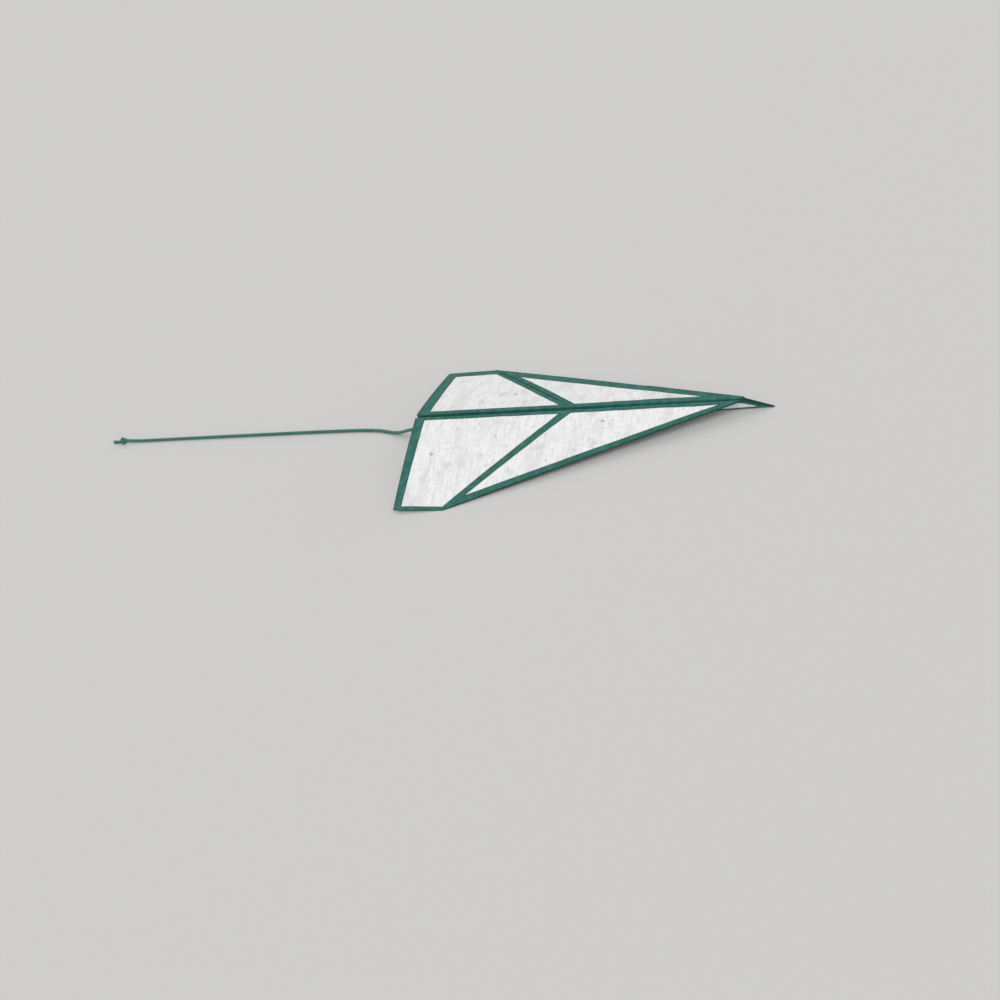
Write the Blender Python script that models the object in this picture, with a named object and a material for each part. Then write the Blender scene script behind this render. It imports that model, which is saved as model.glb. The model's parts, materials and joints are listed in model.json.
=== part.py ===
"""Folded paper dart with a trailing string.

One A4 sheet is folded into a dart, and each flat panel between its creases
is a separate solid.  Metres, +X towards the nose, +Y to the left, +Z up.
The dart stands on its nose and on the front corners of its two wings.
"""
import math

import bmesh
import bpy
from mathutils import Matrix, Vector

# Sheet
SHEET_WIDTH = 0.210
SHEET_LENGTH = 0.297
PAPER_THICKNESS = 0.0002
LAYER_GAP = 0.0003
EDGE_GAP = 0.0002

# Folding
LEADING_ANGLE = math.radians(22.5)
CREASE_FRONT_HEIGHT = 0.0095
CREASE_REAR_HEIGHT = 0.018
WING_DROOP = math.radians(17.0)

# String
STRING_DIAMETER = 0.0030
STRING_STEP = 0.0065
STRING_GAP = 0.0003
KNOT_LENGTH = 0.0078
KNOT_WIDTH = 0.0066
KNOT_HEIGHT = 0.0056
FREE_END_LENGTH = 0.0065

# From inside the keel, out at the tail, down and back along the ground
STRING_ROUTE = [
    (-0.1246, 0.0000, 0.0136),
    (-0.1356, 0.0000, 0.0139),
    (-0.1466, 0.0000, 0.0143),
    (-0.1528, 0.0008, 0.0141),
    (-0.1588, 0.0025, 0.0127),
    (-0.1646, 0.0049, 0.0101),
    (-0.1702, 0.0077, 0.0071),
    (-0.1760, 0.0106, 0.0044),
    (-0.1826, 0.0137, 0.0025),
    (-0.1902, 0.0167, 0.0017),
    (-0.2010, 0.0198, 0.0016),
    (-0.2200, 0.0227, 0.0016),
    (-0.2450, 0.0251, 0.0016),
    (-0.2750, 0.0277, 0.0016),
    (-0.3100, 0.0305, 0.0016),
    (-0.3500, 0.0336, 0.0016),
    (-0.3900, 0.0367, 0.0016),
    (-0.4300, 0.0397, 0.0016),
    (-0.4600, 0.0419, 0.0016),
    (-0.4745, 0.0430, 0.0020),
    (-0.4840, 0.0437, 0.0029),
]

PAPER_COLOUR = (0.90, 0.91, 0.90)
STRING_COLOUR = (0.09, 0.32, 0.27)

# Half a sheet, with x outwards from the keel line and y back from the nose
HALF_WIDTH = SHEET_WIDTH / 2
HALF_SHEET = [
    (0, 0),
    (HALF_WIDTH, 0),
    (HALF_WIDTH, SHEET_LENGTH),
    (CREASE_REAR_HEIGHT / 2, SHEET_LENGTH),
    (0, SHEET_LENGTH),
]


def clip(outline, point, normal, margin=0.0):
    """The part of an outline at least a margin along the normal from a point."""
    kept = []
    for index, corner in enumerate(outline):
        here = Vector(corner)
        there = Vector(outline[(index + 1) % len(outline)])
        depth_here = (here - point).dot(normal) - margin
        depth_there = (there - point).dot(normal) - margin
        if depth_here >= 0:
            kept.append(here)
        if depth_here * depth_there < 0:
            kept.append(here.lerp(there, depth_here / (depth_here - depth_there)))
    return kept


def fold(outline, angle):
    """Turn in what lies outside a line from the nose: the part left, and the part turned in."""
    nose = Vector((0, 0))
    outside = Vector((math.cos(angle), -math.sin(angle)))
    left = clip(outline, nose, -outside)
    turned = [corner - 2 * corner.dot(outside) * outside for corner in clip(outline, nose, outside)]
    return left, turned


# First the nose corner is turned in to the keel line, then the whole leading edge
CORNERLESS, NOSE_CORNER = fold(HALF_SHEET, 2 * LEADING_ANGLE)
SHEET, FLAP = fold(CORNERLESS, LEADING_ANGLE)
NOSE_TUCK, NOSE_FOLD = fold(NOSE_CORNER, LEADING_ANGLE)

# The layers of one side, from the middle of the keel outwards
LAYERS = [("flap", FLAP), ("nose_fold", NOSE_FOLD), ("nose_tuck", NOSE_TUCK), ("sheet", SHEET)]
LAYER_PITCH = PAPER_THICKNESS + LAYER_GAP
HINGE_OFFSET = LAYER_PITCH * len(LAYERS)

# The wing crease, from the leading edge to the tail
CREASE_FRONT = Vector((CREASE_FRONT_HEIGHT, CREASE_FRONT_HEIGHT / math.tan(LEADING_ANGLE)))
CREASE_REAR = Vector((CREASE_REAR_HEIGHT, SHEET_LENGTH))
CREASE_ALONG = (CREASE_REAR - CREASE_FRONT).normalized()
CREASE_OUT = Vector((CREASE_ALONG.y, -CREASE_ALONG.x))


def plain_material(name, colour, roughness):
    material = bpy.data.materials.new(name)
    material.use_nodes = True
    shader = material.node_tree.nodes["Principled BSDF"]
    shader.inputs["Base Color"].default_value = (*colour, 1.0)
    shader.inputs["Roughness"].default_value = roughness
    shader.inputs["Metallic"].default_value = 0.0
    return material


def add_object(name, data):
    item = bpy.data.objects.new(name, data)
    collection.objects.link(item)
    return item


def add_group(name, parent, matrix):
    """An empty that carries the panels of one body, placed on their hinge."""
    group = add_object(name, None)
    group.empty_display_size = 0.02
    group.location = matrix.to_translation()
    group.rotation_euler = matrix.to_euler()
    group.parent = parent
    return group


def add_panel(name, outline, height, parent):
    """A flat panel of paper: a closed outline, filled and given its thickness."""
    curve = bpy.data.curves.new(name, "CURVE")
    curve.dimensions = "2D"
    curve.fill_mode = "BOTH"
    curve.extrude = PAPER_THICKNESS / 2
    spline = curve.splines.new("POLY")
    spline.points.add(len(outline) - 1)
    for point, (across, up) in zip(spline.points, outline):
        point.co = (across, up, 0.0, 1.0)
    spline.use_cyclic_u = True
    curve.materials.append(plain_material(name, PAPER_COLOUR, 0.85))
    panel = add_object(name, curve)
    panel.location = (0.0, 0.0, height)
    panel.parent = parent


def add_tube(name, route, diameter):
    curve = bpy.data.curves.new(name, "CURVE")
    curve.dimensions = "3D"
    curve.bevel_depth = diameter / 2
    curve.bevel_resolution = 2
    curve.use_fill_caps = True
    spline = curve.splines.new("POLY")
    spline.points.add(len(route) - 1)
    for point, place in zip(spline.points, route):
        point.co = (*place, 1.0)
    curve.materials.append(plain_material(name, STRING_COLOUR, 0.9))
    add_object(name, curve)


def keel_frame():
    """Local X back along the keel line, Y up, Z to the left."""
    return Matrix.Rotation(math.pi, 4, "Z") @ Matrix.Rotation(math.pi / 2, 4, "X")


def wing_frame(side):
    """Local X back along the wing crease, Y out over the wing."""
    along = Vector((-CREASE_ALONG.y, 0.0, CREASE_ALONG.x))
    across = Vector((-CREASE_OUT.y, 0.0, CREASE_OUT.x))
    upright = Matrix((along, across, along.cross(across))).transposed().to_4x4()
    start = Vector((-CREASE_FRONT.y, side * HINGE_OFFSET, CREASE_FRONT.x))
    turn = Matrix.Rotation(side * (math.pi / 2 + WING_DROOP), 4, "X")
    return Matrix.Translation(start) @ upright @ turn


def add_side(word, side, dart):
    """The keel panels and wing panels of one half of the dart; side is 1 on the left."""
    keel = add_group(word + "_keel_group", dart, keel_frame())
    wing = add_group(word + "_wing_group", dart, wing_frame(side))
    for order, (label, outline) in enumerate(LAYERS):
        from_middle = LAYER_PITCH * (order + 0.5)
        low = clip(outline, Vector((0, 0)), Vector((1, 0)), EDGE_GAP)
        low = clip(low, CREASE_FRONT, -CREASE_OUT, EDGE_GAP)
        low = [(corner.y, corner.x) for corner in low]
        add_panel(word + "_keel_" + label, low, side * from_middle, keel)
        high = clip(outline, CREASE_FRONT, CREASE_OUT, EDGE_GAP)
        high = [corner - CREASE_FRONT for corner in high]
        high = [(corner.dot(CREASE_ALONG), corner.dot(CREASE_OUT)) for corner in high]
        add_panel(word + "_wing_" + label, high, side * (from_middle - HINGE_OFFSET), wing)


def panel_corners():
    """Every corner of the panels as they stand, in world coordinates."""
    bpy.context.view_layer.update()
    depsgraph = bpy.context.evaluated_depsgraph_get()
    corners = []
    for item in collection.objects:
        if item.type != "CURVE":
            continue
        shape = item.evaluated_get(depsgraph).to_mesh()
        corners.extend(item.matrix_world @ vertex.co for vertex in shape.vertices)
        item.evaluated_get(depsgraph).to_mesh_clear()
    return corners


def stand(dart):
    """Tip the dart onto its nose and wing corners, and centre it on the origin."""
    corners = panel_corners()
    nose = max(corners, key=lambda corner: (corner.x, -corner.z))
    behind = [corner for corner in corners if corner.x < nose.x - SHEET_LENGTH / 4]
    tip = max(math.atan2(nose.z - corner.z, nose.x - corner.x) for corner in behind)
    dart.rotation_euler = (0.0, tip, 0.0)
    corners = panel_corners()
    low = [min(corner[axis] for corner in corners) for axis in range(3)]
    high = [max(corner[axis] for corner in corners) for axis in range(3)]
    dart.location = (-(low[0] + high[0]) / 2, -(low[1] + high[1]) / 2, -low[2])


def smooth_route(points, step):
    """Points about a step apart on a smooth curve through the given ones."""
    points = [Vector(point) for point in points]
    ends = [2 * points[0] - points[1], *points, 2 * points[-1] - points[-2]]
    fine = []
    for before, start, stop, after in zip(ends, ends[1:], ends[2:], ends[3:]):
        count = max(1, round((stop - start).length / step))
        for index in range(count):
            part = index / count
            bend = start - stop
            leave = (stop - before) / 2
            arrive = (after - start) / 2
            square = part * part
            cube = square * part
            fine.append(
                start
                + leave * part
                - (3 * bend + 2 * leave + arrive) * square
                + (2 * bend + leave + arrive) * cube
            )
    fine.append(points[-1])
    return fine


def add_string():
    """The string, the knot on its far end and the short end left beyond the knot."""
    route = smooth_route(STRING_ROUTE, STRING_STEP)
    add_tube("trailing_string", route, STRING_DIAMETER)
    heading = route[-1] - route[-2]
    heading.z = 0.0
    heading.normalize()
    middle = route[-1] + heading * (STRING_GAP + KNOT_LENGTH / 2)
    ball = bpy.data.meshes.new("string_end_knot")
    shape = bmesh.new()
    bmesh.ops.create_uvsphere(shape, u_segments=12, v_segments=8, radius=0.5)
    size = Matrix.Diagonal((KNOT_LENGTH, KNOT_WIDTH, KNOT_HEIGHT, 1.0))
    bmesh.ops.transform(shape, matrix=size, verts=shape.verts)
    shape.to_mesh(ball)
    shape.free()
    ball.shade_smooth()
    ball.materials.append(plain_material("string_end_knot", STRING_COLOUR, 0.9))
    knot = add_object("string_end_knot", ball)
    knot.location = middle
    knot.rotation_euler.z = math.atan2(heading.y, heading.x)
    leaving = middle + heading * (KNOT_LENGTH / 2 + STRING_GAP)
    ending = leaving + heading * FREE_END_LENGTH
    leaving.z = ending.z = STRING_ROUTE[-3][2]
    add_tube("string_free_end", [leaving, ending], STRING_DIAMETER)


for item in list(bpy.data.objects):
    bpy.data.objects.remove(item, do_unlink=True)

collection = bpy.data.collections.new("paper_dart")
bpy.context.scene.collection.children.link(collection)

dart = add_group("dart_group", None, Matrix.Identity(4))
add_side("right", -1, dart)
add_side("left", 1, dart)
stand(dart)
add_string()
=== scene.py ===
"""A folded paper dart, painted white with green outlines, and its trailing string."""
import json
import math

import bmesh
import bpy
from mathutils import Matrix, Vector


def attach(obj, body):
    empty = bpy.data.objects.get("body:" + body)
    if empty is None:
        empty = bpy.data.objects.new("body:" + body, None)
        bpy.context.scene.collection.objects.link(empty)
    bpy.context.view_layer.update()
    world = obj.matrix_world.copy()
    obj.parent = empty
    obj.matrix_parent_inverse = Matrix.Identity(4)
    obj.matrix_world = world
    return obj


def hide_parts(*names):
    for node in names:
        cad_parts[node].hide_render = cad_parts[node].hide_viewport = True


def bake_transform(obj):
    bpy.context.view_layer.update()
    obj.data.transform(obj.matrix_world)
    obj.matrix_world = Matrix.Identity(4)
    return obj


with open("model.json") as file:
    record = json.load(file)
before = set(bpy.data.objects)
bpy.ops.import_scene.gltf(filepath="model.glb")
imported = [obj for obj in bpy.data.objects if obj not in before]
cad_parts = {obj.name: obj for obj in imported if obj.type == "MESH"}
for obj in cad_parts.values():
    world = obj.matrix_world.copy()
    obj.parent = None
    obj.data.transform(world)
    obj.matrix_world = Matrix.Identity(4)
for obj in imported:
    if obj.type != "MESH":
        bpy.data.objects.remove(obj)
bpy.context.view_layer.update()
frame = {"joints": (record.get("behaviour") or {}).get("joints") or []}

# ---------------------------------------------------------------- camera
# The dart is seen from its right, a little ahead of the wings and from above,
# and the camera is tipped until the keel and the string run level.
CAMERA_TURN = math.radians(31.4)
CAMERA_RISE = math.radians(38.4)
CAMERA_ROLL = math.radians(-25.4)
CAMERA_DISTANCE = 1.15
CAMERA_AIM = Vector((-0.0689, -0.0621, -0.0162))
CAMERA_LENS = 51.7
CAMERA_SEES = (0.01, 20.0)

camera = bpy.data.objects.new("camera", bpy.data.cameras.new("camera"))
camera.data.lens = CAMERA_LENS
camera.data.clip_start, camera.data.clip_end = CAMERA_SEES
camera_facing = (
    Matrix.Rotation(CAMERA_TURN, 4, "Z")
    @ Matrix.Rotation(math.pi / 2 - CAMERA_RISE, 4, "X")
    @ Matrix.Rotation(CAMERA_ROLL, 4, "Z")
)
camera.matrix_world = (
    Matrix.Translation(CAMERA_AIM + camera_facing.to_3x3() @ Vector((0, 0, CAMERA_DISTANCE)))
    @ camera_facing
)
bpy.context.scene.collection.objects.link(camera)
bpy.context.scene.camera = camera


# ---------------------------------------------------------------- string
# Cotton twine of three plies, dyed green.  It is glued between the two sides
# of the keel near the tail, drops to the ground and runs back along it.
TWINE_RADIUS = 0.0015
PLIES = 3
PLY_OFFSET = 0.00055
PLY_RADIUS = TWINE_RADIUS - PLY_OFFSET
PLY_LAY = 0.0118
TWINE_SIDES = 24
TWINE_STEP = 0.0007
TWINE_FUZZ = 0.00012
CENTIMETRES = 100
TWINE_ROUTE = [
    (-0.1246, 0.0000, 0.0136),
    (-0.1356, 0.0000, 0.0139),
    (-0.1466, 0.0000, 0.0143),
    (-0.1528, 0.0008, 0.0141),
    (-0.1588, 0.0025, 0.0127),
    (-0.1646, 0.0049, 0.0101),
    (-0.1702, 0.0077, 0.0071),
    (-0.1760, 0.0106, 0.0044),
    (-0.1826, 0.0137, 0.0025),
    (-0.1902, 0.0167, 0.0017),
    (-0.2010, 0.0198, 0.0016),
    (-0.2200, 0.0227, 0.0016),
    (-0.2450, 0.0251, 0.0016),
    (-0.2750, 0.0277, 0.0016),
    (-0.3100, 0.0305, 0.0016),
    (-0.3500, 0.0336, 0.0016),
    (-0.3900, 0.0367, 0.0016),
    (-0.4300, 0.0397, 0.0016),
    (-0.4600, 0.0419, 0.0016),
    (-0.4745, 0.0430, 0.0020),
    (-0.4840, 0.0437, 0.0029),
]
TWINE_GREEN = (0.034, 0.165, 0.132)
# The darkest green serves both the dye's darker patches and the painted shade between the plies.
TWINE_DARK_TONE_AND_SHADE = (0.010, 0.070, 0.056)
TWINE_PALE = (0.085, 0.270, 0.215)


class Value:
    """A shader socket that takes part in sums like a number."""

    def __init__(self, finish, socket):
        self.finish = finish
        self.socket = socket

    def math(self, operation, other=0.0, swapped=False):
        pair = (other, self) if swapped else (self, other)
        return self.finish.add("ShaderNodeMath", {"operation": operation}, dict(enumerate(pair)))

    def __add__(self, other):
        return self.math("ADD", other)

    def __radd__(self, other):
        return self.math("ADD", other, swapped=True)

    def __sub__(self, other):
        return self.math("SUBTRACT", other)

    def __rsub__(self, other):
        return self.math("SUBTRACT", other, swapped=True)

    def __mul__(self, other):
        return self.math("MULTIPLY", other)

    def __rmul__(self, other):
        return self.math("MULTIPLY", other, swapped=True)

    def __abs__(self):
        return self.math("ABSOLUTE")

    def lesser(self, other):
        return self.math("MINIMUM", other)

    def greater(self, other):
        return self.math("MAXIMUM", other)

    def step(self, low, high):
        """0 below low, 1 above high, and smooth between them."""
        return self.finish.add(
            "ShaderNodeMapRange",
            {"interpolation_type": "SMOOTHSTEP"},
            {"Value": self, "From Min": low, "From Max": high},
        )


class Finish:
    """One material, whose nodes are added one after another."""

    def __init__(self, name):
        self.material = bpy.data.materials.new(name)
        self.material.use_nodes = True
        self.surface = self.material.node_tree.nodes["Principled BSDF"]

    def add(self, kind, settings, inputs, output=0):
        node = self.material.node_tree.nodes.new(kind)
        for setting, choice in settings.items():
            setattr(node, setting, choice)
        self.fill(node, inputs)
        return Value(self, node.outputs[output])

    def fill(self, node, inputs):
        for socket, given in inputs.items():
            if isinstance(given, Value):
                self.material.node_tree.links.new(given.socket, node.inputs[socket])
            else:
                node.inputs[socket].default_value = given

    def blend(self, mask, below, above):
        """One colour over another, by a mask."""
        colours = [item if isinstance(item, Value) else (*item, 1.0) for item in (below, above)]
        return self.add(
            "ShaderNodeMix", {"data_type": "RGBA"}, {0: mask, 6: colours[0], 7: colours[1]}, 2
        )

    def noise(self, place, scale, detail=2.0, roughness=0.5):
        return self.add(
            "ShaderNodeTexNoise",
            {"noise_dimensions": "3D"},
            {"Vector": place, "Scale": scale, "Detail": detail, "Roughness": roughness},
        )

    def along(self, x, y, z=0.0):
        return self.add("ShaderNodeCombineXYZ", {}, {0: x, 1: y, 2: z})

    def relief(self, height):
        bump = self.add("ShaderNodeBump", {}, {"Strength": 1.0, "Distance": 1.0, "Height": height})
        self.fill(self.surface, {"Normal": bump})


def mesh_coordinates(finish, name):
    """The two coordinates of a mesh's own map, as values."""
    laid = finish.add("ShaderNodeUVMap", {"uv_map": name}, {})
    return [finish.add("ShaderNodeSeparateXYZ", {}, {0: laid}, output) for output in (0, 1)]


def twine_finish():
    """Matte dyed cotton: fine fibres along each ply, with painted shade darker down between the
    plies.
    """
    finish = Finish("dyed_cotton_twine")
    ply, length = mesh_coordinates(finish, "twine")
    ply_edge_shade_reach = abs(ply - 0.5) * 2.0
    fibres = finish.noise(finish.along(ply * 9.0, length * 0.9 + ply * 3.0), 4.0, 3.0, 0.6)
    patches = finish.noise(finish.along(ply * 0.2, length * 0.35), 1.5)
    colour = finish.blend(fibres.step(0.35, 0.72), TWINE_GREEN, TWINE_PALE)
    colour = finish.blend(patches.step(0.45, 0.75) * 0.35, colour, TWINE_DARK_TONE_AND_SHADE)
    # Painted shade: the colour darkens towards the edges of each ply, down where the plies meet.
    colour = finish.blend(ply_edge_shade_reach.step(0.55, 1.0) * 0.85, colour, TWINE_DARK_TONE_AND_SHADE)
    finish.relief(fibres * TWINE_FUZZ)
    finish.fill(finish.surface, {"Base Color": colour, "Roughness": 0.92})
    finish.fill(finish.surface, {"Sheen Weight": 0.2, "Sheen Roughness": 0.5})
    return finish.material


def ease(value, low, high):
    """0 up to low, 1 from high on, and smooth between them."""
    part = min(1.0, max(0.0, (value - low) / (high - low)))
    return part * part * (3 - 2 * part)


def smooth_route(points, step):
    """Points about a step apart on a smooth curve through the given ones."""
    points = [Vector(point) for point in points]
    ends = [2 * points[0] - points[1], *points, 2 * points[-1] - points[-2]]
    fine = []
    for before, start, stop, after in zip(ends, ends[1:], ends[2:], ends[3:]):
        count = max(1, round((stop - start).length / step))
        for index in range(count):
            part = index / count
            square = part * part
            cube = square * part
            leave = (stop - before) / 2
            arrive = (after - start) / 2
            bend = start - stop
            fine.append(
                start
                + leave * part
                - (3 * bend + 2 * leave + arrive) * square
                + (2 * bend + leave + arrive) * cube
            )
    fine.append(points[-1])
    return fine


def twine_reach(turn):
    """How far out the touching plies reach at an angle round the twine."""
    within = (turn / (2 * math.pi) * PLIES) % 1.0
    angle = (within - 0.5) * 2 * math.pi / PLIES
    across = PLY_OFFSET * math.sin(angle)
    return PLY_OFFSET * math.cos(angle) + math.sqrt(PLY_RADIUS**2 - across**2)


def twine_length(route):
    """How much twine the plies have turned along by the end of a route."""
    return sum((stop - start).length for start, stop in zip(route, route[1:]))


def twine_mesh(name, route, size, travelled=0.0):
    """Twisted plies along a route; size gives the thickness at each part of it."""
    shape = bmesh.new()
    coordinates = shape.loops.layers.uv.new("twine")
    rings = []
    facing = Vector((0, 0, 1))
    for index, place in enumerate(route):
        ahead = route[min(index + 1, len(route) - 1)] - route[max(index - 1, 0)]
        ahead.normalize()
        facing = (facing - ahead * facing.dot(ahead)).normalized()
        beside = ahead.cross(facing)
        if index:
            travelled += (place - route[index - 1]).length
        twist = 2 * math.pi * travelled / PLY_LAY
        scale = size(index / (len(route) - 1))
        ring = []
        for corner in range(TWINE_SIDES):
            turn = 2 * math.pi * corner / TWINE_SIDES
            out = facing * math.cos(turn + twist) + beside * math.sin(turn + twist)
            ring.append(shape.verts.new(place + out * twine_reach(turn) * scale))
        rings.append((ring, travelled))
    for (ring, before), (following, after) in zip(rings, rings[1:]):
        for corner in range(TWINE_SIDES):
            beyond = (corner + 1) % TWINE_SIDES
            face = shape.faces.new(
                (ring[corner], ring[beyond], following[beyond], following[corner])
            )
            face.smooth = True
            start = (corner / TWINE_SIDES * PLIES) % 1.0
            stop = start + PLIES / TWINE_SIDES
            laid = ((start, before), (stop, before), (stop, after), (start, after))
            for loop, (ply, length) in zip(face.loops, laid):
                loop[coordinates].uv = (ply, length * CENTIMETRES)
    shape.faces.new(rings[0][0])
    shape.faces.new(rings[-1][0])
    bmesh.ops.recalc_face_normals(shape, faces=shape.faces)
    mesh = bpy.data.meshes.new(name)
    shape.to_mesh(mesh)
    shape.free()
    return mesh


def add_piece(name, mesh, *materials):
    """A mesh with its materials, put into the scene as an object."""
    piece = bpy.data.objects.new(name, mesh)
    for material in materials:
        mesh.materials.append(material)
    bpy.context.scene.collection.objects.link(piece)
    return piece


twine = twine_finish()
twine_line = smooth_route(TWINE_ROUTE, TWINE_STEP)
string_mesh = twine_mesh("cotton_string", twine_line, lambda part: 1.0)
string = add_piece("cotton_string", string_mesh, twine)
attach(string, "right_keel")
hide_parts("trailing_string")


# ---------------------------------------------------------------- end knot
# The string ends in one overhand knot, pulled tight, and a short free end.
# Its cut plies have opened a little, and single fibres stand out of them.
KNOT_LENGTH = 0.0078
KNOT_GAP = 0.0003
KNOT_LOOP = 0.00082
KNOT_TWINE = 0.80
KNOT_STEPS = 30
KNOT_TWINE_STEP = 0.00035
FREE_END_LENGTH = 0.0065
FREE_END_DROP = -0.0013
FREE_END_START = 0.0044
FREE_END_SPLAY = 0.12
KNOT_RISE = 1.45
KNOT_LEAN = 0.8
KNOT_SPREAD = 0.7
FRAY_FIBRES = 26
FRAY_TURN = 2.39996
FRAY_STEPS = 4
FIBRE_RADIUS = 0.00011
FIBRE_LENGTH = 0.0010
FIBRE_EXTRA = 0.0013


def knot_route():
    """In at the back and over, round through itself, and out underneath at the front."""
    route = [
        Vector((-0.0046, 0.0, 0.0)),
        Vector((-0.0035, -0.0002, 0.0002)),
        Vector((-0.0019, -0.0011, 0.0006)),
    ]
    for index in range(KNOT_STEPS + 1):
        part = index / KNOT_STEPS
        turn = math.pi * (1 + 2 * part)
        lane = KNOT_SPREAD * (1 - ease(part, 0.0, 0.2) - ease(part, 0.8, 1.0))
        route.append(
            KNOT_LOOP
            * Vector(
                (
                    math.sin(turn) + 2 * math.sin(2 * turn),
                    math.cos(turn) - 2 * math.cos(2 * turn) + KNOT_LEAN,
                    lane - KNOT_RISE * math.sin(3 * turn),
                )
            )
        )
    route.append(Vector((0.0018, -0.0013, -0.0009)))
    route.append(Vector((0.0033, -0.0004, -0.0012)))
    route.append(Vector((0.0046, 0.0, FREE_END_DROP)))
    route.append(Vector((FREE_END_START + FREE_END_LENGTH / 2, 0.0001, FREE_END_DROP)))
    route.append(Vector((FREE_END_START + FREE_END_LENGTH, 0.0002, FREE_END_DROP)))
    return smooth_route(route, KNOT_TWINE_STEP)


def knot_size(part):
    """Squeezed in the knot, full at its ends, and a little open where it was cut."""
    squeeze = ease(part, 0.02, 0.12) - ease(part, 0.70, 0.80)
    return 1 - (1 - KNOT_TWINE) * squeeze + FREE_END_SPLAY * ease(part, 0.94, 1.0)


def add_fray(shape, place, ahead):
    """Loose fibres over the cut end: thin tapering threads that curl outwards."""
    coordinates = shape.loops.layers.uv["twine"]
    side = Vector((0, 0, 1)).cross(ahead).normalized()
    up = ahead.cross(side)
    for index in range(FRAY_FIBRES):
        turn = FRAY_TURN * index
        reach = TWINE_RADIUS * math.sqrt((index + 0.5) / FRAY_FIBRES)
        out = side * math.cos(turn) + up * math.sin(turn)
        length = FIBRE_LENGTH + FIBRE_EXTRA * (0.5 + 0.5 * math.sin(index * 4.7))
        curl = out * (0.35 + 0.5 * math.sin(index * 2.9) ** 2)
        rings = []
        for step in range(FRAY_STEPS + 1):
            part = step / FRAY_STEPS
            middle = place + out * reach * 0.9 + (ahead * part + curl * part**2) * length
            middle.z = max(middle.z, 0.0001)
            thick = FIBRE_RADIUS * (1 - 0.8 * part)
            rings.append(
                [
                    shape.verts.new(
                        middle + side * thick * math.cos(angle) + up * thick * math.sin(angle)
                    )
                    for angle in (0.0, 2 * math.pi / 3, 4 * math.pi / 3)
                ]
            )
        for ring, following in zip(rings, rings[1:]):
            for corner in range(3):
                beyond = (corner + 1) % 3
                face = shape.faces.new(
                    (ring[corner], ring[beyond], following[beyond], following[corner])
                )
                face.smooth = True
                for loop in face.loops:
                    loop[coordinates].uv = (0.5, index * 0.37)
        shape.faces.new(rings[0])
        shape.faces.new(rings[-1])


string_end = Vector(TWINE_ROUTE[-1])
heading = string_end - Vector(TWINE_ROUTE[-2])
knot_middle = string_end + Vector((heading.x, heading.y, 0)).normalized() * (
    KNOT_GAP + KNOT_LENGTH / 2
)
knot_facing = Matrix.Rotation(math.atan2(heading.y, heading.x), 4, "Z")
knot_line = [Matrix.Translation(knot_middle) @ knot_facing @ place for place in knot_route()]
knot_mesh = twine_mesh("string_knot", knot_line, knot_size, twine_length(twine_line))
frayed = bmesh.new()
frayed.from_mesh(knot_mesh)
add_fray(frayed, knot_line[-1], (knot_line[-1] - knot_line[-2]).normalized())
bmesh.ops.recalc_face_normals(frayed, faces=frayed.faces)
frayed.to_mesh(knot_mesh)
frayed.free()
knot = add_piece("string_knot", knot_mesh, twine)
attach(knot, "right_keel")
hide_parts("string_end_knot", "string_free_end")


# ---------------------------------------------------------------- folded paper
# One rectangular sheet of drawing paper, 210 by 297 mm, folded by hand.  The
# nose corners and then the leading edges are turned in, the sheet is doubled
# along its keel, and each wing is bent down along a crease of its own.
SHEET_WIDTH = 0.210
SHEET_LENGTH = 0.297
LEADING_ANGLE = math.radians(22.5)
WING_DROOP = math.radians(17.0)
PAPER_THICKNESS = 0.0002
HINGE_OFFSET = 0.0020
STACK_PITCH = 0.00022
SHEET_LIFT = 0.00025
MIDDLE_GAP = 0.00014
STRING_ROOM = 0.00171
CREASE_REACH = 0.0006
FOLD_REACH = 0.0011
KEEL_FLOOR = 0.0003
KEEL_WALL = 0.0020
INNER_WALL = 0.0009
WING_BULGE = {-1: 0.0015, 1: 0.0011}
FLAP_LIFT = {-1: 0.0005, 1: 0.0007}
FREE_EDGE = 0.014
RIDGE_REACH = 0.0025
STRING_SPREAD = (0.215, 0.262)
FACE_STEP = 0.0068
SAME_PLACE = 0.000002
CREASE_CUTS = 4
FOLD_CUTS = 6
SHARP_FOLD = math.radians(40)
MAP_SPAN = 0.4
PAINT_WAVER = 0.0013
PAINT_SOFTNESS = 0.00015
PAINT_RIM = (0.0001, 0.0010)
PAINT_SOAK = 0.0008
PAINT_HEIGHT = 0.00004
BRUSH_HEIGHT = 0.00006
STREAK_HEIGHT = 0.00007
STROKE_HEIGHT = 0.00005
GRAIN_HEIGHT = 0.00002

PAPER_WHITE = (0.925, 0.926, 0.920)
PAPER_GREY = (0.655, 0.665, 0.662)
PAPER_SPECK = (0.300, 0.310, 0.300)
PAPER_SOAK = (0.380, 0.420, 0.360)
OUTLINE_GREEN = (0.026, 0.135, 0.110)
OUTLINE_LIGHT = (0.062, 0.205, 0.170)
OUTLINE_DARK = (0.008, 0.056, 0.043)
OUTLINE_WORN = (0.120, 0.130, 0.120)

hinges = {joint["name"]: joint for joint in frame["joints"]}
keel_nose = Vector(hinges["keel_fold"]["pos_m"])
keel_back = Vector(hinges["keel_fold"]["axis"]).normalized()
keel_up = Vector((0, 1, 0)).cross(keel_back)
crease_start = Vector(hinges["right_wing_crease"]["pos_m"])
crease_back = Vector(hinges["right_wing_crease"]["axis"]).normalized()

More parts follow.
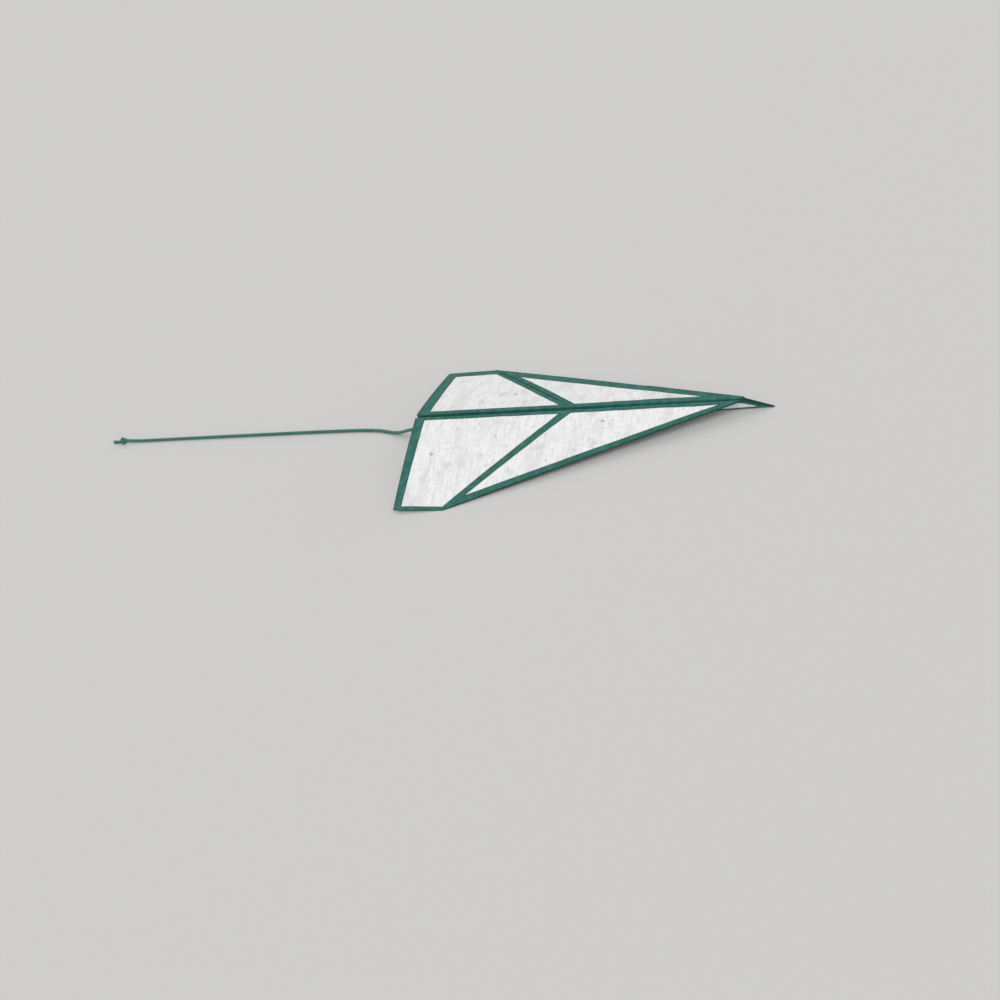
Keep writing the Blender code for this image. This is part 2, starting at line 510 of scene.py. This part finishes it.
# The wing crease on the flat half sheet: x out from the keel line, y back from the nose
CREASE_FRONT = Vector(
    ((crease_start - keel_nose).dot(keel_up), (crease_start - keel_nose).dot(keel_back))
)
CREASE_ALONG = Vector((crease_back.dot(keel_up), crease_back.dot(keel_back))).normalized()
CREASE_OUT = Vector((CREASE_ALONG.y, -CREASE_ALONG.x))
HALF_WIDTH = SHEET_WIDTH / 2
FLAP_BACK = HALF_WIDTH * math.sqrt(2.0)
EDGE_OUT = Vector((math.cos(LEADING_ANGLE), -math.sin(LEADING_ANGLE)))
WING_CHORD = 0.089
WING_RIPPLE = 0.0004
RIPPLE_TURN = 6.5
CREASE_MIDDLE = 0.12
BEND_MARGIN = 1.02


def clip(outline, point, normal):
    """The part of an outline that lies on the normal's side of a point."""
    kept = []
    for index, corner in enumerate(outline):
        here = Vector(corner)
        there = Vector(outline[(index + 1) % len(outline)])
        depth_here = (here - point).dot(normal)
        depth_there = (there - point).dot(normal)
        if depth_here >= 0:
            kept.append(here)
        if depth_here * depth_there < 0:
            kept.append(here.lerp(there, depth_here / (depth_here - depth_there)))
    return kept


def fold(outline, angle):
    """Turn in what lies outside a line from the nose: the part left, and the part turned in."""
    nose = Vector((0, 0))
    outside = Vector((math.cos(angle), -math.sin(angle)))
    beyond = clip(outline, nose, outside)
    turned = [corner - 2 * corner.dot(outside) * outside for corner in beyond]
    return clip(outline, nose, -outside), turned


HALF_SHEET = [(0, 0), (HALF_WIDTH, 0), (HALF_WIDTH, SHEET_LENGTH), (0, SHEET_LENGTH)]
CORNERLESS, NOSE_CORNER = fold(HALF_SHEET, 2 * LEADING_ANGLE)
SHEET, _ = fold(CORNERLESS, LEADING_ANGLE)
NOSE_TUCK, NOSE_FOLD = fold(NOSE_CORNER, LEADING_ANGLE)


def layers_here(x, y):
    """Whether the nose tuck, the nose fold and the flap reach this place, from 0 to 1."""
    tuck = 1 - ease(y, HALF_WIDTH - RIDGE_REACH, HALF_WIDTH + RIDGE_REACH)
    nose_fold = 1 - ease(x + y, FLAP_BACK - RIDGE_REACH, FLAP_BACK + RIDGE_REACH)
    flap = 1 - ease(y - x, FLAP_BACK - RIDGE_REACH, FLAP_BACK + RIDGE_REACH)
    return tuck, nose_fold, flap


def stack(layer, x, y):
    """How many layers lie between this one and the sheet, and between it and the middle."""
    tuck, nose_fold, flap = layers_here(x, y)
    if layer == "sheet":
        return 0, tuck + nose_fold + flap
    if layer == "nose_tuck":
        return 1, nose_fold + flap
    if layer == "nose_fold":
        return 1 + tuck, flap
    return 1 + tuck + nose_fold, 0


def wing_rise(side, layer, along, out, x, y):
    """How far a wing's paper stands off the flat: a shallow bulge, and the flap's free edge."""
    part = min(1.0, max(0.0, out / WING_CHORD))
    length = min(1.0, max(0.0, along / SHEET_LENGTH))
    rise = WING_BULGE[side] * 4 * part * (1 - part) * (0.35 + 0.65 * length)
    wave = math.sin(RIPPLE_TURN * length + side)
    rise += WING_RIPPLE * part * wave * ease(along, 0.05, 0.2) * (1 - part)
    if layer == "flap":
        inside = (FLAP_BACK + x - y) / math.sqrt(2.0)
        near = 1 - ease(inside, 0.0, FREE_EDGE)
        rise += FLAP_LIFT[side] * near * 4 * part * (1 - part)
    return rise


def keel_offset(layer, within, y):
    """How far a layer in the keel lies from the middle, with room for the string at the tail."""
    middle = MIDDLE_GAP + STACK_PITCH * within
    if layer == "sheet":
        middle += (STRING_ROOM - middle) * ease(y, *STRING_SPREAD)
    return middle


def lay(side, layer, x, y, raised=0.0):
    """Where a point of one layer comes to rest; raised is its height off the layer's middle."""
    place = Vector((x, y)) - CREASE_FRONT
    along = place.dot(CREASE_ALONG)
    out = place.dot(CREASE_OUT)
    below, within = stack(layer, x, y)
    lift = SHEET_LIFT + STACK_PITCH * below
    bend = math.pi / 2 + WING_DROOP
    if out < -CREASE_REACH:
        depth = (x - out / CREASE_OUT.x) - CREASE_REACH - KEEL_WALL
        rise = min(1.0, max(0.0, 1 + (out + CREASE_REACH) / depth))
        middle = keel_offset(layer, within, y)
        level = out
        inward = lift * rise + (HINGE_OFFSET - middle) * (1 - rise) + raised
    elif out <= CREASE_REACH:
        radius = CREASE_REACH / math.tan(bend / 2) + lift
        turn = bend * (out + CREASE_REACH) / (2 * CREASE_REACH)
        level = -CREASE_REACH + (radius + raised) * math.sin(turn)
        inward = lift - radius + (radius + raised) * math.cos(turn)
    else:
        lift += wing_rise(side, layer, along, out - CREASE_REACH, x, y) + raised
        level = out * math.cos(bend) + lift * math.sin(bend)
        inward = lift * math.cos(bend) - out * math.sin(bend)
    start = Vector((crease_start.x, side * HINGE_OFFSET, crease_start.z))
    across = Vector((0, 1, 0)).cross(crease_back)
    return start + crease_back * along + across * level + Vector((0, -side, 0)) * inward


def line(start, stop):
    """Across x, across y and offset of a line; positive on its left, seen from start to stop."""
    start, stop = Vector(start), Vector(stop)
    left = Vector((start.y - stop.y, stop.x - start.x)).normalized()
    return left.x, left.y, -start.dot(left)


CUT_EDGES = [
    (-EDGE_OUT.x, -EDGE_OUT.y, 0.0),
    (-1.0, 0.0, HALF_WIDTH),
    (0.0, -1.0, SHEET_LENGTH),
]


def painted_finish(name, bands):
    """White brushed paper with green bands; a band is what lies to the left of all its lines."""
    finish = Finish(name)
    over, back = mesh_coordinates(finish, "sheet")
    x = abs(over - 0.5) * MAP_SPAN
    y = back * MAP_SPAN
    spread = finish.along(over * MAP_SPAN, y)
    waver = (finish.noise(spread, 38.0, 3.0, 0.6) - 0.5) * PAINT_WAVER
    inside = None
    for band in bands:
        narrow = None
        for across_x, across_y, offset in band:
            depth = x * across_x + y * across_y + offset
            narrow = depth if narrow is None else narrow.lesser(depth)
        inside = narrow if inside is None else inside.greater(narrow)
    inside = inside + waver
    outer = None
    for across_x, across_y, offset in CUT_EDGES:
        depth = x * across_x + y * across_y + offset
        outer = depth if outer is None else outer.lesser(depth)
    painted = inside.step(-PAINT_SOFTNESS, PAINT_SOFTNESS)
    rim = painted * (1 - inside.lesser(outer).step(*PAINT_RIM))
    soak = inside.step(-PAINT_SOAK, 0.0) - painted

    across = over * MAP_SPAN
    streaks = finish.noise(finish.along(across * 90.0, y * 400.0), 1.0, 4.0, 0.65)
    strokes = finish.noise(finish.along(across * 330.0, y * 120.0), 1.0, 3.0, 0.6)
    broad = finish.noise(finish.along(across * 25.0, y * 70.0), 1.0, 2.0, 0.5)
    grain = finish.noise(spread, 1900.0, 2.0, 0.6)
    blots = finish.noise(spread, 75.0, 3.0, 0.6)
    specks = finish.noise(spread, 140.0, 1.0, 0.4)
    sweep = finish.noise(finish.along(across * 150.0, y * 150.0), 1.0, 4.0, 0.7)
    wear = finish.noise(spread, 62.0, 4.0, 0.75)

    white = finish.blend(streaks.step(0.42, 0.74) * 0.75, PAPER_WHITE, PAPER_GREY)
    white = finish.blend(strokes.step(0.46, 0.76) * 0.38, white, PAPER_GREY)
    white = finish.blend(broad.step(0.45, 0.75) * 0.5, white, PAPER_GREY)
    white = finish.blend(blots.step(0.56, 0.72) * 0.8, white, PAPER_GREY)
    white = finish.blend(specks.step(0.745, 0.775) * 0.6, white, PAPER_SPECK)
    green = finish.blend(sweep.step(0.38, 0.68) * 0.9, OUTLINE_GREEN, OUTLINE_LIGHT)
    green = finish.blend(wear.step(0.66, 0.76) * 0.55, green, OUTLINE_WORN)
    green = finish.blend(rim * 0.9, green, OUTLINE_DARK)
    colour = finish.blend(soak * 0.4, white, PAPER_SOAK)
    colour = finish.blend(painted, colour, green)
    height = streaks * STREAK_HEIGHT + strokes * STROKE_HEIGHT + grain * GRAIN_HEIGHT
    height = height + painted * PAINT_HEIGHT + sweep * painted * BRUSH_HEIGHT
    finish.relief(height)
    finish.fill(
        finish.surface,
        {"Base Color": colour, "Roughness": 0.8 - painted * 0.15 + grain * 0.08},
    )
    finish.fill(finish.surface, {"Specular IOR Level": 0.2})
    return finish.material


EDGE_ALONG = Vector((math.sin(LEADING_ANGLE), math.cos(LEADING_ANGLE)))
SIDE_CORNER = Vector((HALF_WIDTH, HALF_WIDTH / math.tan(LEADING_ANGLE)))
FLAP_EDGE_FROM = 0.014
FLAP_EDGE_START = Vector((FLAP_EDGE_FROM, FLAP_BACK + FLAP_EDGE_FROM))
FLAP_EDGE_OUT = Vector((math.sqrt(0.5), -math.sqrt(0.5)))
# Painted widths: each pair is the width near the nose or the keel, and at the far end.
# The leading edge's two are measured at a near and a far distance from the nose.
LEADING_FAR = 0.270
LEADING_NEAR = 0.060
UNDERSIDE_NEAR = 0.010
LEADING_PAINT = {"right": (0.0042, 0.0059), "left": (0.0080, 0.0104)}
UNDERSIDE_PAINT = (0.0026, 0.0060)
TAIL_PAINT = {"right": (0.0094, 0.0066), "left": (0.0110, 0.0094)}
SIDE_PAINT = {"right": 0.0034, "left": 0.0100}
FLAP_EDGE_PAINT = {"right": (0.0034, 0.0028), "left": (0.0048, 0.0044)}
CREASE_PAINT = {"right": 0.0031, "left": 0.0042}
KEEL_CREASE_PAINT = 0.0022
SLOT_PAINT = 0.0085
KEEL_PAINT = 0.0024


def leading_paint(widths, near):
    """A band along the leading edge."""
    stop = EDGE_ALONG * near - EDGE_OUT * widths[0]
    return [line(EDGE_ALONG * LEADING_FAR - EDGE_OUT * widths[1], stop)]


def crease_paint(above, below):
    """A band along the wing crease, so far up the wing and so far down the keel."""
    start, stop = CREASE_FRONT, CREASE_FRONT + CREASE_ALONG
    return [
        line(start + CREASE_OUT * above, stop + CREASE_OUT * above),
        line(stop - CREASE_OUT * below, start - CREASE_OUT * below),
    ]


def tail_paint(widths):
    """A band along the tail, from the keel to the wing tip."""
    keel_end = (CREASE_FRONT.x, SHEET_LENGTH - widths[0])
    return [line(keel_end, (HALF_WIDTH, SHEET_LENGTH - widths[1]))]


def side_paint(width):
    """A band along the wing's short side edge."""
    inner = HALF_WIDTH - width
    return [line((inner, SHEET_LENGTH), (inner, 0))]


def flap_edge_paint(widths):
    """A band on each side of the flap's free edge, which draws the V on the wing."""
    near, far = (FLAP_EDGE_OUT * width for width in widths)
    return [
        line(FLAP_EDGE_START + near, SIDE_CORNER + far),
        line(SIDE_CORNER - far, FLAP_EDGE_START - near),
    ]


flap_finishes = {}
sheet_finishes = {}
for word in ("right", "left"):
    crease = crease_paint(CREASE_PAINT[word], SLOT_PAINT)
    flap_edge = flap_edge_paint(FLAP_EDGE_PAINT[word])
    leading = leading_paint(LEADING_PAINT[word], LEADING_NEAR)
    flap_finishes[word] = painted_finish("painted_flap_" + word, [leading, crease, flap_edge])
    sheet_finishes[word] = painted_finish(
        "painted_sheet_" + word,
        [tail_paint(TAIL_PAINT[word]), side_paint(SIDE_PAINT[word]), crease, flap_edge],
    )
underside_finish = painted_finish(
    "painted_underside",
    [
        leading_paint(UNDERSIDE_PAINT, UNDERSIDE_NEAR),
        tail_paint(TAIL_PAINT["right"]),
        side_paint(SIDE_PAINT["right"]),
        crease_paint(CREASE_PAINT["right"], KEEL_CREASE_PAINT),
        [line((KEEL_PAINT, 0), (KEEL_PAINT, SHEET_LENGTH))],
    ],
)
edge_finish = painted_finish("painted_edge", [[(0.0, 0.0, 1.0)]])


def cut_lines(layer):
    """Lines that divide a layer into small faces: a grid, the creases and the ridges."""
    lines = []
    for index in range(1, 45):
        lines.append((Vector((0, FACE_STEP * index)), Vector((0, 1))))
        lines.append((Vector((FACE_STEP * index, 0)), Vector((1, 0))))
    for index in range(2 * CREASE_CUTS + 1):
        reach = CREASE_REACH * (index / CREASE_CUTS - 1)
        lines.append((CREASE_FRONT + CREASE_OUT * reach, CREASE_OUT))
    for offset in (-RIDGE_REACH, 0.0, RIDGE_REACH):
        lines.append((Vector((0, HALF_WIDTH + offset)), Vector((0, 1))))
        lines.append((Vector((0, FLAP_BACK + offset)), Vector((1, 1)).normalized()))
        lines.append((Vector((0, FLAP_BACK + offset)), Vector((-1, 1)).normalized()))
    if layer == "flap":
        for offset in (0.005, 0.009, FREE_EDGE):
            near_edge = Vector((offset * math.sqrt(2), FLAP_BACK))
            lines.append((near_edge, Vector((-1, 1)).normalized()))
        for index in range(FOLD_CUTS + 1):
            lines.append((EDGE_OUT * FOLD_REACH * index / FOLD_CUTS, EDGE_OUT))
    return lines


def layer_mesh(name, side, layer, outline):
    """One layer of one half: its outline cut into faces, laid in place and given thickness."""
    flat = bmesh.new()
    flat.faces.new([flat.verts.new((corner.x, corner.y, 0)) for corner in outline])
    for point, normal in cut_lines(layer):
        bmesh.ops.bisect_plane(
            flat,
            geom=[*flat.verts, *flat.edges, *flat.faces],
            dist=SAME_PLACE,
            plane_co=(*point, 0),
            plane_no=(*normal, 0),
        )
    flat.verts.index_update()
    thick = bmesh.new()
    coordinates = thick.loops.layers.uv.new("sheet")
    upper, lower, laid = [], [], []
    for vertex in flat.verts:
        x, y = vertex.co.x, vertex.co.y
        beyond = max(0.0, Vector((x, y)).dot(EDGE_OUT)) if layer == "flap" else 0.0
        base = Vector((x, y)) - EDGE_OUT * beyond
        radius = STACK_PITCH * stack(layer, base.x, base.y)[0] / 2
        turn = math.pi * min(1.0, beyond / FOLD_REACH)
        for half, row in ((PAPER_THICKNESS / 2, upper), (-PAPER_THICKNESS / 2, lower)):
            place = base + EDGE_OUT * (radius + half) * math.sin(turn)
            raised = (radius + half) * math.cos(turn) - radius
            row.append(thick.verts.new(lay(side, layer, place.x, place.y, raised)))
        laid.append((0.5 + side * base.x / MAP_SPAN, base.y / MAP_SPAN))
    skins = []
    for face in flat.faces:
        indices = [vertex.index for vertex in face.verts]
        skins.append((upper, indices, 0))
        skins.append((lower, indices[::-1], 1))
    for row, indices, slot in skins:
        face = thick.faces.new([row[index] for index in indices])
        face.material_index = slot
        for loop, index in zip(face.loops, indices):
            loop[coordinates].uv = laid[index]
    for edge in flat.edges:
        if len(edge.link_faces) == 1:
            start, stop = (vertex.index for vertex in edge.verts)
            face = thick.faces.new((upper[start], upper[stop], lower[stop], lower[start]))
            face.material_index = 2
            for loop, index in zip(face.loops, (start, stop, stop, start)):
                loop[coordinates].uv = laid[index]
    bmesh.ops.recalc_face_normals(thick, faces=thick.faces)
    for face in thick.faces:
        face.smooth = True
    mesh = bpy.data.meshes.new(name)
    thick.to_mesh(mesh)
    flat.free()
    thick.free()
    mesh.set_sharp_from_angle(angle=SHARP_FOLD)
    return mesh


def crease_ends(side, layer):
    """Where the bend of a wing crease starts on the keel and ends on the wing."""
    middle = CREASE_FRONT + CREASE_ALONG * CREASE_MIDDLE
    start = middle - CREASE_OUT * CREASE_REACH * BEND_MARGIN
    end = middle + CREASE_OUT * CREASE_REACH * BEND_MARGIN
    return lay(side, layer, *start), lay(side, layer, *end)


def layer_finishes(word, layer):
    """The finishes of a layer's upper face, its lower face and its cut edge."""
    if layer == "flap":
        return flap_finishes[word], flap_finishes[word], edge_finish
    if layer == "sheet":
        return sheet_finishes[word], underside_finish, edge_finish
    return underside_finish, underside_finish, edge_finish


# The flap is drawn with the paper that rolls round the leading edge, out beyond its fold
FOLD_ROLL = EDGE_OUT * FOLD_REACH
ROLLED_FLAP = [(0, FLAP_BACK), (0, 0), FOLD_ROLL, SIDE_CORNER + FOLD_ROLL, SIDE_CORNER]
LAYER_OUTLINES = {
    "sheet": clip(SHEET, Vector((KEEL_WALL, 0)), Vector((1, 0))),
    "nose_tuck": clip(NOSE_TUCK, Vector((INNER_WALL, 0)), Vector((1, 0))),
    "nose_fold": clip(NOSE_FOLD, Vector((INNER_WALL, 0)), Vector((1, 0))),
    "flap": clip(ROLLED_FLAP, Vector((INNER_WALL, 0)), Vector((1, 0))),
}

for word, side in (("right", -1), ("left", 1)):
    for layer, outline in LAYER_OUTLINES.items():
        name = word + "_" + layer
        paper = add_piece(
            name + "_paper", layer_mesh(name, side, layer, outline), *layer_finishes(word, layer)
        )
        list(crease_ends(side, layer))
        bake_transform(paper)
        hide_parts(word + "_keel_" + layer, word + "_wing_" + layer)


# ---------------------------------------------------------------- keel fold
# The sheet runs unbroken under the keel, from one side to the other.  The
# string inside it keeps the fold round at the tail; towards the nose it is sharp.
FOLD_POINTS = 12
NOSE_STATIONS = [0.0009, 0.0016, 0.0024, 0.0034]
SHARPEST_TIP = 0.00002
STRIP_HALF_WIDTH = 0.0008


def keel_fold_mesh():
    """A narrow trough of paper, from the lower edge of one side to the other."""
    shape = bmesh.new()
    coordinates = shape.loops.layers.uv.new("sheet")
    rows = []
    stations = [*NOSE_STATIONS, KEEL_WALL / math.tan(LEADING_ANGLE)]
    stations += [FACE_STEP * index for index in range(1, 44)] + [SHEET_LENGTH]
    for y in sorted(stations):
        radius = keel_offset("sheet", stack("sheet", KEEL_WALL, y)[1], y)
        top = min(KEEL_WALL, y * math.tan(LEADING_ANGLE))
        if top < KEEL_FLOOR + radius:
            reach = radius * math.acos(1 - max(SHARPEST_TIP, top - KEEL_FLOOR) / radius)
        else:
            reach = radius * math.pi / 2 + top - KEEL_FLOOR - radius
        row = []
        for index in range(FOLD_POINTS + 1):
            travel = reach * (2 * index / FOLD_POINTS - 1)
            turn = min(abs(travel) / radius, math.pi / 2)
            side = math.copysign(1.0, travel)
            rise = max(0.0, abs(travel) - radius * math.pi / 2)
            pair = []
            for half in (-PAPER_THICKNESS / 2, PAPER_THICKNESS / 2):
                across = (radius + half) * math.sin(turn)
                up = KEEL_FLOOR + radius - (radius + half) * math.cos(turn) + rise
                place = keel_nose + keel_back * y + keel_up * up + Vector((0, side * across, 0))
                pair.append(shape.verts.new(place))
            row.append((pair, (0.5 + side * STRIP_HALF_WIDTH / MAP_SPAN, y / MAP_SPAN)))
        rows.append(row)

    def add_face(corners, slot):
        face = shape.faces.new([vertex for vertex, _ in corners])
        face.material_index = slot
        face.smooth = True
        for loop, (_, laid) in zip(face.loops, corners):
            loop[coordinates].uv = laid

    for skin in (0, 1):
        for row, following in zip(rows, rows[1:]):
            for index in range(FOLD_POINTS):
                square = (row[index], row[index + 1], following[index + 1], following[index])
                add_face([(pair[skin], laid) for pair, laid in square], skin)
    for row in (rows[0], rows[-1]):
        for start, stop in zip(row, row[1:]):
            strip = ((start, 0), (stop, 0), (stop, 1), (start, 1))
            add_face([(item[0][skin], item[1]) for item, skin in strip], 2)
    for index in (0, FOLD_POINTS):
        for row, following in zip(rows, rows[1:]):
            near, far = row[index], following[index]
            strip = ((near, 0), (far, 0), (far, 1), (near, 1))
            add_face([(item[0][skin], item[1]) for item, skin in strip], 2)
    bmesh.ops.recalc_face_normals(shape, faces=shape.faces)
    mesh = bpy.data.meshes.new("keel_fold")
    shape.to_mesh(mesh)
    shape.free()
    mesh.set_sharp_from_angle(angle=SHARP_FOLD)
    return mesh


keel_fold = add_piece(
    "keel_fold_paper", keel_fold_mesh(), underside_finish, underside_finish, edge_finish
)
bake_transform(keel_fold)


# ---------------------------------------------------------------- ground and lights
# A plain pale studio floor, one broad soft light from above and beside the
# camera, a weaker one from the far side, and even light all round.
FLOOR_PALE = (0.64, 0.635, 0.62)
FLOOR_REACH = 30.0
KEY_PLACE, KEY_SPREAD, KEY_STRENGTH = (0.35, -0.75, 1.35), 38.0, 1.22
FILL_PLACE, FILL_SPREAD, FILL_STRENGTH = (-0.9, 0.8, 1.1), 50.0, 0.58
ROOM_STRENGTH = 0.50

ground = Finish("pale_floor")
ground.fill(ground.surface, {"Base Color": (*FLOOR_PALE, 1.0), "Roughness": 0.9})
floor_shape = bmesh.new()
bmesh.ops.create_grid(floor_shape, x_segments=1, y_segments=1, size=FLOOR_REACH)
floor_mesh = bpy.data.meshes.new("floor")
floor_shape.to_mesh(floor_mesh)
floor_shape.free()
floor = add_piece("floor", floor_mesh, ground.material)


def add_light(name, place, spread, strength):
    """Even, soft light from a direction; spread is how broad its source looks."""
    lamp = bpy.data.lights.new(name, "SUN")
    lamp.angle = math.radians(spread)
    lamp.energy = strength
    light = bpy.data.objects.new(name, lamp)
    light.location = place
    light.rotation_euler = (-Vector(place)).to_track_quat("-Z", "Y").to_euler()
    bpy.context.scene.collection.objects.link(light)


add_light("soft_key", KEY_PLACE, KEY_SPREAD, KEY_STRENGTH)
add_light("soft_fill", FILL_PLACE, FILL_SPREAD, FILL_STRENGTH)

surroundings = bpy.data.worlds.new("studio")
surroundings.use_nodes = True
room_light = surroundings.node_tree.nodes["Background"]
room_light.inputs["Color"].default_value = (1.0, 1.0, 1.0, 1.0)
room_light.inputs["Strength"].default_value = ROOM_STRENGTH
bpy.context.scene.world = surroundings
bpy.context.scene.view_settings.view_transform = "Standard"
